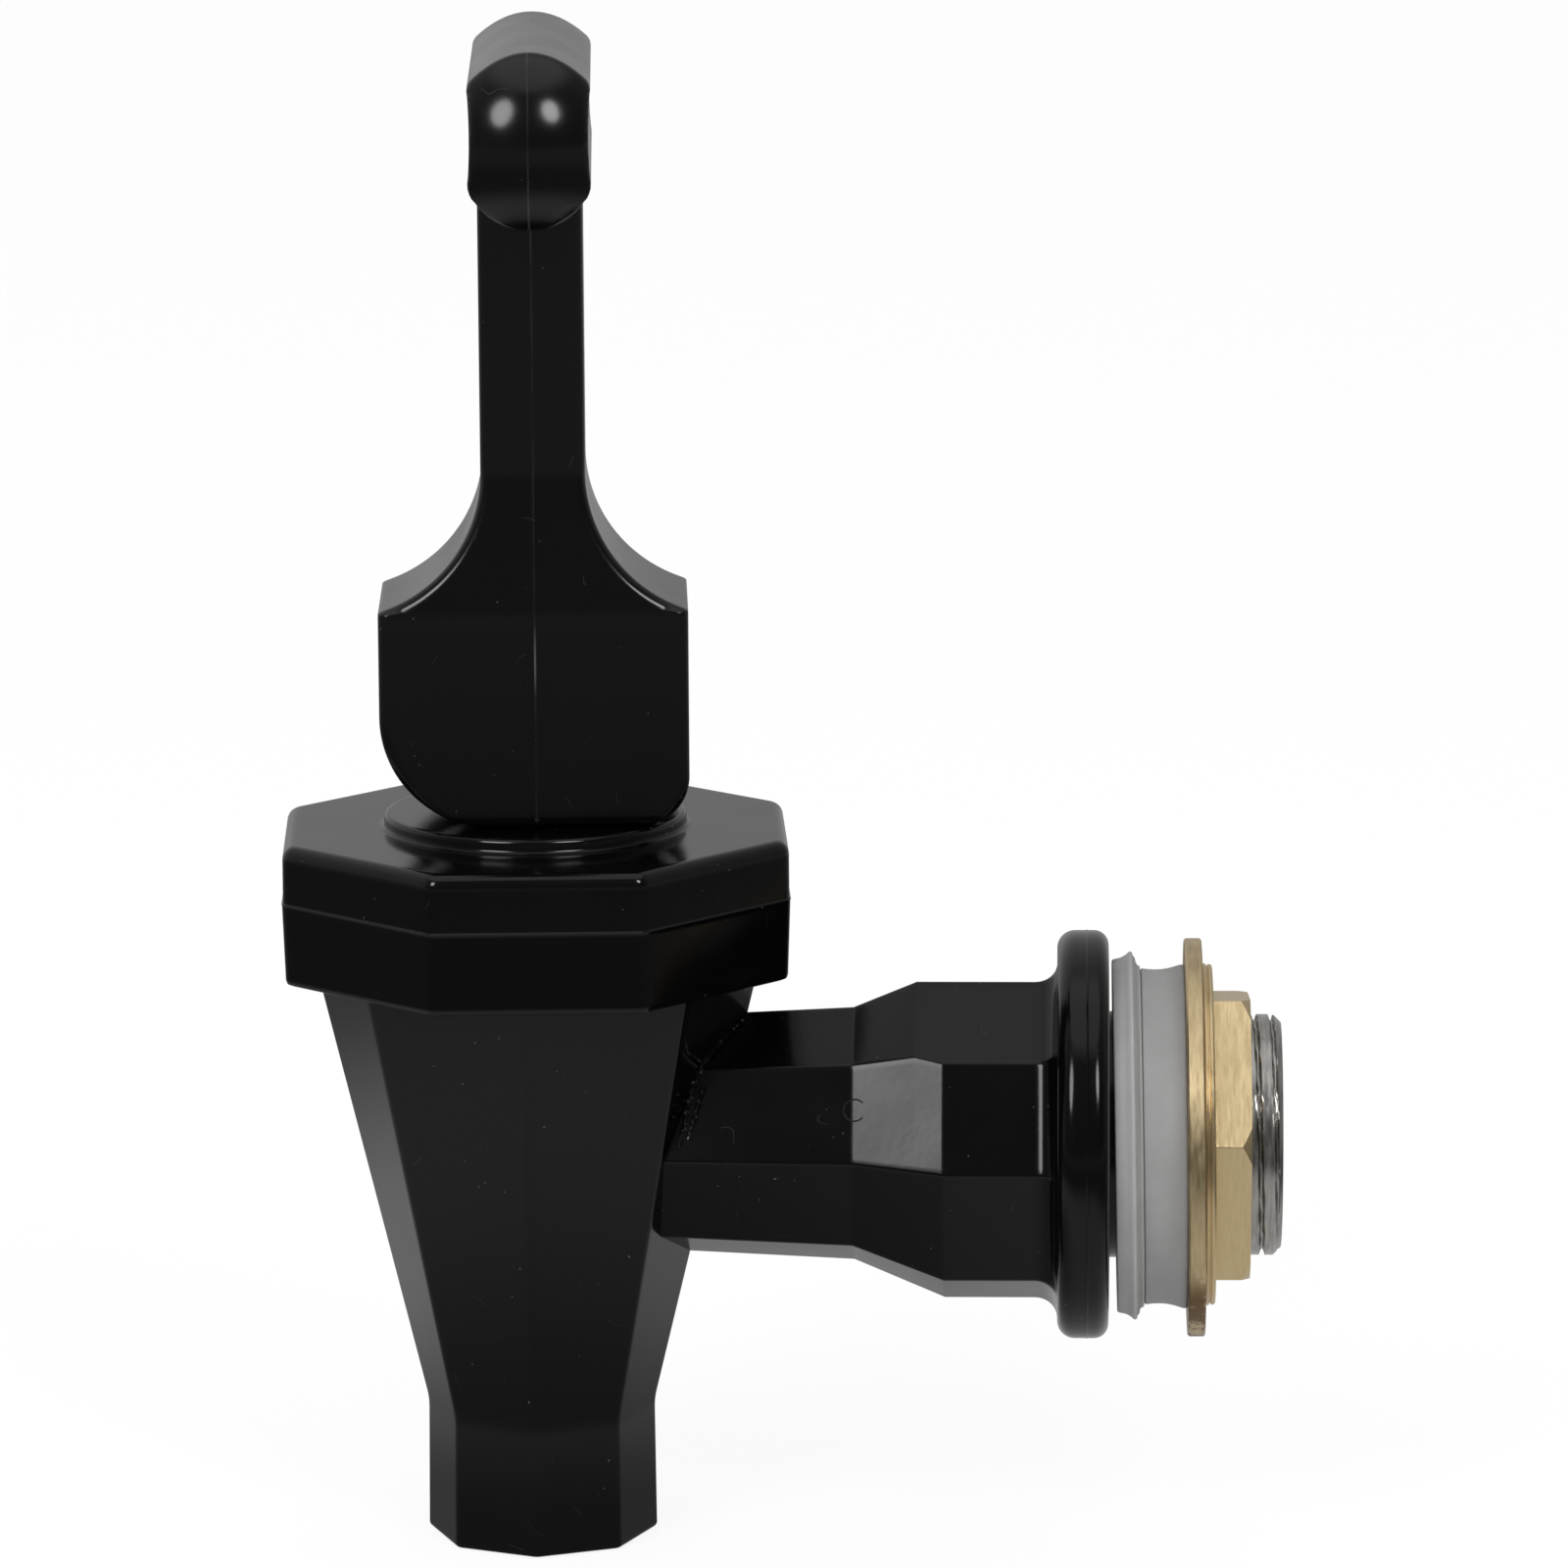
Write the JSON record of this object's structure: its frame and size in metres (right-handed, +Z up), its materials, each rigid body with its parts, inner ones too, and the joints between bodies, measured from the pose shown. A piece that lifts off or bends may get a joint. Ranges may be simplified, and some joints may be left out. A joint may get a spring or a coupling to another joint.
{
  "type": "self closing dispenser tap",
  "caption": "Black plastic self closing dispenser tap with a lever handle, an angular spout and a threaded shank with gaskets, washer and nut.",
  "frame": {"origin": "centre of the flange's back face, on the axis of the shank and its inlet bore", "axes": "+X along the shank into the vessel, +Z up along the valve's stem, the outlet points along -Z"},
  "size_m": [0.0901, 0.0462, 0.1367],
  "materials": {
    "handle_plastic": "gloss",
    "bonnet_plastic": "semi gloss",
    "housing_plastic": "satin",
    "steel": "ground",
    "stem_plastic": "satin",
    "spring_steel": "drawn wire",
    "cup_rubber": "matte",
    "shank_steel": "turned, threaded",
    "lip_gasket_rubber": "matte",
    "wall_gasket_rubber": "matte",
    "washer_brass": "brushed, slightly tarnished",
    "nut_brass": "turned"
  },
  "bodies": {
    "tap": {"housing": "housing_plastic", "threaded_shank": "shank_steel", "bonnet": "bonnet_plastic", "seat_cup": "cup_rubber", "flange_gasket": "lip_gasket_rubber", "wall_gasket": "wall_gasket_rubber", "washer": "washer_brass", "lock_nut": "nut_brass"},
    "spring": {"return_spring": "spring_steel"},
    "stem": {"stem": "stem_plastic"},
    "handle": {"handle": "handle_plastic", "pivot_pin": "steel"}
  },
  "joints": [
    {"name": "handle_turn", "type": "hinge", "parent": "tap", "child": "spring", "pos_m": [-0.05145, 0, 0], "axis": [0, 0, 1], "continuous": true},
    {"name": "stem_lift", "type": "slide", "parent": "spring", "child": "stem", "axis": [0, 0, 1], "range_m": [0, 0.00411], "stiffness_N_per_m": 500, "springref_m": -0.016, "deforming": ["return_spring", "seat_cup"]},
    {"name": "handle_tilt", "type": "hinge", "parent": "stem", "child": "handle", "pos_m": [-0.05145, 0, 0.03815], "axis": [0.0523, -0.9986, 0], "range_deg": [0, 60]}
  ],
  "couplings": [
    {"joint": "handle_tilt", "follows": "stem_lift", "rad_per_m": 254.4}
  ]
}
